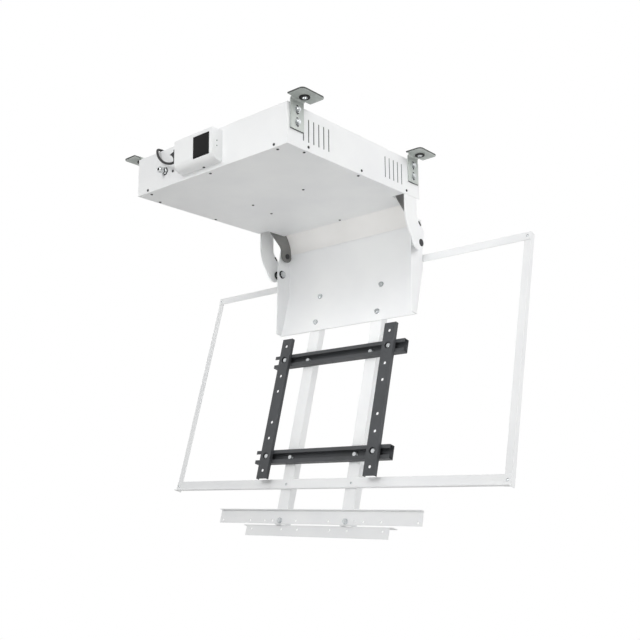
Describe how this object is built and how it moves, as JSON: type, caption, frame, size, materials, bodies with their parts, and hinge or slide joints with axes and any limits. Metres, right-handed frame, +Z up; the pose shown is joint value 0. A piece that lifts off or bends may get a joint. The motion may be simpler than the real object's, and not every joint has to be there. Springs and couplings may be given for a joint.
{
  "type": "motorized tv ceiling mount",
  "caption": "Flip-down ceiling mount: a white motor housing on slotted ceiling brackets, J-shaped arms and a worm-driven parallel linkage that tilts a steel carrier frame.",
  "frame": {"origin": "on the ceiling plane, at the centre of the four ceiling holes", "axes": "+X to the right along the front wall as its viewer sees it, +Y to the rear where the arms come out, +Z up to the ceiling; drawn fully open"},
  "size_m": [1.218, 0.679, 1.0786],
  "materials": {
    "white_sheet": "smooth white powder coat",
    "grey_sheet": "satin light grey powder coat",
    "zinc_sheet": "zinc-plated sheet",
    "bracket_steel": "dark plated, slightly rough",
    "plated_steel": "bright zinc",
    "bright_plating": "bright nickel",
    "black_rubber": "matt",
    "black_plastic": "fine grain",
    "bearing_bronze": "dull bronze",
    "wheel_bronze": "machined bronze",
    "cast_aluminium": "die-cast",
    "motor_paint": "black enamel",
    "supply_case": "satin sheet",
    "board_green": "solder mask",
    "dark_window": "polished, nearly black",
    "green_light": "clear green lens",
    "sensor_red": "moulded",
    "dark_rail": "satin dark grey powder coat"
  },
  "bodies": {
    "housing": {"housing_shell": "white_sheet", "bottom_cover": "white_sheet", "sheet_screws": "plated_steel", "clinch_nuts": "plated_steel", "bracket_front_left": "bracket_steel", "bracket_front_right": "bracket_steel", "bracket_rear_left": "bracket_steel", "bracket_rear_right": "bracket_steel", "bracket_bolts": "plated_steel", "bracket_nuts": "plated_steel", "ceiling_bushes": "black_rubber", "side_rails": "zinc_sheet", "backing_plates": "zinc_sheet", "rear_cross_beam": "zinc_sheet", "middle_cross_beam": "zinc_sheet", "arm_left": "white_sheet", "arm_right": "white_sheet", "hinge_bushes": "black_plastic", "bearing_plates": "zinc_sheet", "shaft_bearings": "bearing_bronze", "gearbox_case": "cast_aluminium", "gearbox_lid": "cast_aluminium", "drive_screws": "plated_steel", "motor_can": "motor_paint", "motor_end_cap": "black_plastic", "power_supply": "supply_case", "control_board": "board_green", "board_posts": "plated_steel", "receiver_board": "board_green", "front_cover": "white_sheet", "receiver_window": "dark_window", "status_lights": "green_light", "cable_gland": "bright_plating", "lead_connector": "black_plastic", "sensor_lead": "black_rubber", "inner_leads": "black_rubber", "end_sensors": "sensor_red"},
    "shaft": {"drive_shaft": "plated_steel", "cranks": "zinc_sheet", "shaft_collars": "plated_steel", "worm_wheel": "wheel_bronze"},
    "worm_shaft": {"worm": "plated_steel", "motor_rotor": "plated_steel"},
    "link": {"link_left": "grey_sheet", "link_right": "grey_sheet", "link_panel": "grey_sheet", "link_bushes": "black_plastic"},
    "carrier": {"neck": "white_sheet", "hinge_bolts": "plated_steel", "hinge_spacers": "plated_steel", "link_pins": "plated_steel", "top_rail": "white_sheet", "side_strips": "white_sheet", "uprights": "white_sheet", "frame_rail": "white_sheet", "lower_rail": "white_sheet", "bottom_ledge": "white_sheet", "cross_rails": "dark_rail", "load_arms": "dark_rail", "frame_bolts": "plated_steel"}
  },
  "joints": [
    {"name": "flip", "type": "hinge", "parent": "housing", "child": "carrier", "pos_m": [0, 0.2875, -0.253], "axis": [1, 0, 0], "range_deg": [-74.6, 0]},
    {"name": "shaft_turn", "type": "hinge", "parent": "housing", "child": "shaft", "pos_m": [0, 0.2045, -0.097], "axis": [1, 0, 0], "range_deg": [-74.6, 0]},
    {"name": "link_turn", "type": "hinge", "parent": "shaft", "child": "link", "pos_m": [0, 0.2176, -0.03538], "axis": [1, 0, 0], "range_deg": [0, 74.6]},
    {"name": "worm_turn", "type": "hinge", "parent": "housing", "child": "worm_shaft", "pos_m": [0, 0.2045, -0.0665], "axis": [0, 1, 0], "range_deg": [-2238, 0]}
  ],
  "couplings": [
    {"joint": "shaft_turn", "follows": "flip", "ratio": 1},
    {"joint": "link_turn", "follows": "flip", "ratio": -1},
    {"joint": "worm_turn", "follows": "flip", "ratio": 30}
  ]
}
